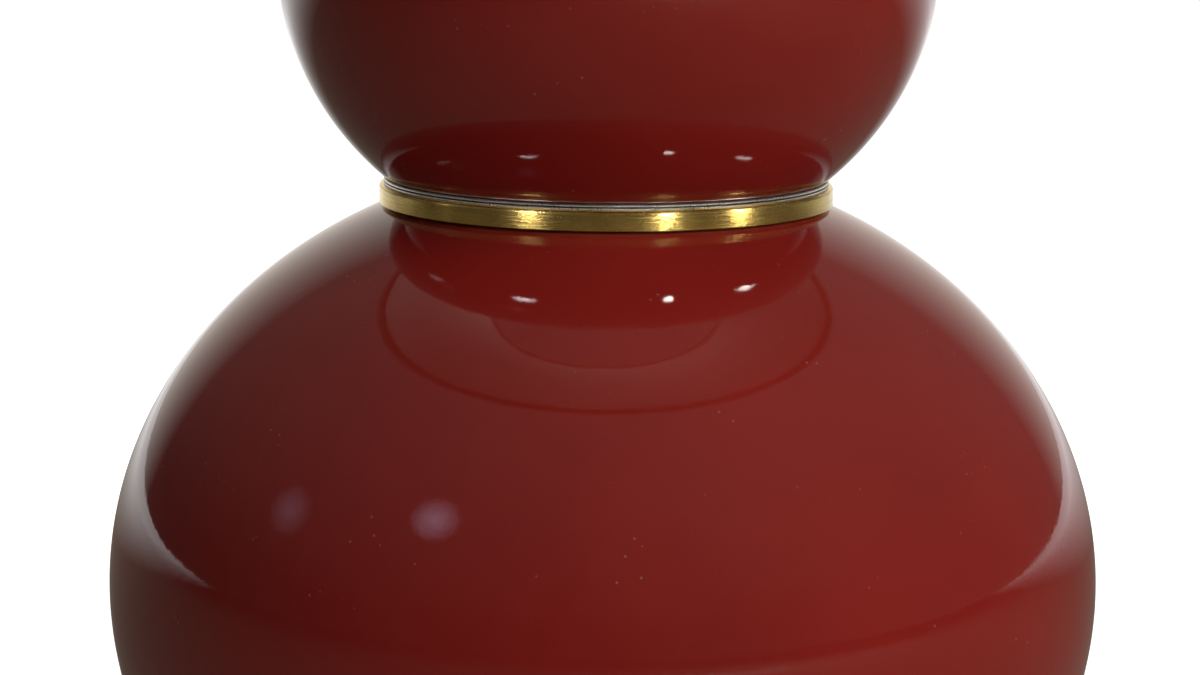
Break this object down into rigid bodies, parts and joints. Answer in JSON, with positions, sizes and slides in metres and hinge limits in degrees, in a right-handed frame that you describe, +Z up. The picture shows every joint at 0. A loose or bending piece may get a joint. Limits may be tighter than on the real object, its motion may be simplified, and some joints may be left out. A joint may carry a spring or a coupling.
{
  "type": "table lamp",
  "caption": "Table lamp with a glazed double gourd body, a brass ring at its waist and a tapered linen drum shade.",
  "frame": {"origin": "on the floor, at the centre of the plinth's felt pad", "axes": "+Z up through the finial; the harp's legs lie along X; the switch knob points to -Y and the cord gland to +Y"},
  "size_m": [0.4209, 0.421, 0.7496],
  "materials": {
    "felt": "dense wool felt",
    "brass": "satin, turned and lacquered",
    "ring_brass": "satin, brushed round the band",
    "bright_brass": "bright stamped sheet",
    "nickel": "ground edge",
    "nickel_cap": "bright drawn sheet",
    "iron": "black painted casting",
    "steel": "zinc plated",
    "glaze": "high gloss oxblood glaze",
    "rubber": "matt",
    "black_plastic": "moulded phenolic",
    "fibre": "vulcanised fibre",
    "black_glass": "opaque black glass",
    "clear_glass": "clear",
    "filament": "yellow phosphor coated rods",
    "liner": "white styrene",
    "linen": "natural linen weave"
  },
  "bodies": {
    "base": {"felt_pad": "felt", "base_plinth": "brass", "base_weight": "iron", "cord_gland": "black_plastic", "rod_washer": "steel", "rod_nut": "steel", "lamp_rod": "steel", "foot_gasket": "rubber", "lower_gourd_bowl": "glaze", "lower_gourd_shoulder": "glaze", "lower_waist_gasket": "rubber", "waist_ring": "ring_brass", "waist_washer": "nickel", "upper_waist_gasket": "rubber", "upper_gourd": "glaze", "neck_gasket": "rubber", "vase_cap": "brass", "check_ring": "brass", "neck_spindle": "brass", "harp_saddle": "brass", "lock_washer": "steel", "socket_cap": "brass", "set_screw": "steel", "socket_shell": "brass", "socket_liner": "fibre", "switch_base": "black_plastic", "socket_body": "black_plastic", "terminal_screws": "steel", "screw_shell": "bright_brass", "centre_contact": "bright_brass"},
    "switch": {"switch_shaft": "steel", "switch_rotor": "black_plastic", "switch_knob": "black_plastic"},
    "bulb_thread": {"bulb_tip": "nickel_cap"},
    "bulb": {"bulb_insulator": "black_glass", "bulb_cap": "nickel_cap", "bulb_glass": "clear_glass", "bulb_stem": "clear_glass", "filaments": "filament"},
    "harp": {"harp": "brass"},
    "left_sleeve": {"left_sleeve": "brass"},
    "right_sleeve": {"right_sleeve": "brass"},
    "swivel": {"swivel_stud": "brass"},
    "shade": {"shade_spider": "brass", "shade_top_ring": "brass", "shade_bottom_ring": "brass", "shade_liner": "liner", "shade_linen": "linen", "shade_top_trim": "linen", "shade_bottom_trim": "linen"},
    "finial_thread": {"finial_insert": "brass"},
    "finial": {"finial_knob": "brass"}
  },
  "joints": [
    {"name": "switch_turn", "type": "hinge", "parent": "base", "child": "switch", "pos_m": [0, 0, 0.49046], "axis": [0, -1, 0], "continuous": true},
    {"name": "bulb_rise", "type": "slide", "parent": "base", "child": "bulb_thread", "axis": [0, 0, 1], "range_m": [0, 0.0183]},
    {"name": "bulb_turn", "type": "hinge", "parent": "bulb_thread", "child": "bulb", "pos_m": [0, 0, 0.50926], "axis": [0, 0, 1], "range_deg": [0, 1800]},
    {"name": "harp_lift", "type": "slide", "parent": "base", "child": "harp", "axis": [0, 0, 1], "range_m": [0, 0.045]},
    {"name": "left_sleeve_slide", "type": "slide", "parent": "harp", "child": "left_sleeve", "axis": [0, 0, 1], "range_m": [0, 0.015]},
    {"name": "right_sleeve_slide", "type": "slide", "parent": "harp", "child": "right_sleeve", "axis": [0, 0, 1], "range_m": [0, 0.015]},
    {"name": "swivel_turn", "type": "hinge", "parent": "harp", "child": "swivel", "pos_m": [0, 0, 0.70366], "axis": [0, 0, 1], "continuous": true},
    {"name": "shade_lift", "type": "slide", "parent": "swivel", "child": "shade", "axis": [0, 0, 1], "range_m": [0, 0.29]},
    {"name": "finial_rise", "type": "slide", "parent": "shade", "child": "finial_thread", "axis": [0, 0, 1], "range_m": [0, 0.0114]},
    {"name": "finial_turn", "type": "hinge", "parent": "finial_thread", "child": "finial", "pos_m": [0, 0, 0.70816], "axis": [0, 0, 1], "range_deg": [0, 4320]}
  ],
  "couplings": [
    {"joint": "bulb_rise", "follows": "bulb_turn", "m_per_rad": 0.0005775},
    {"joint": "finial_rise", "follows": "finial_turn", "m_per_rad": 0.00014972}
  ]
}
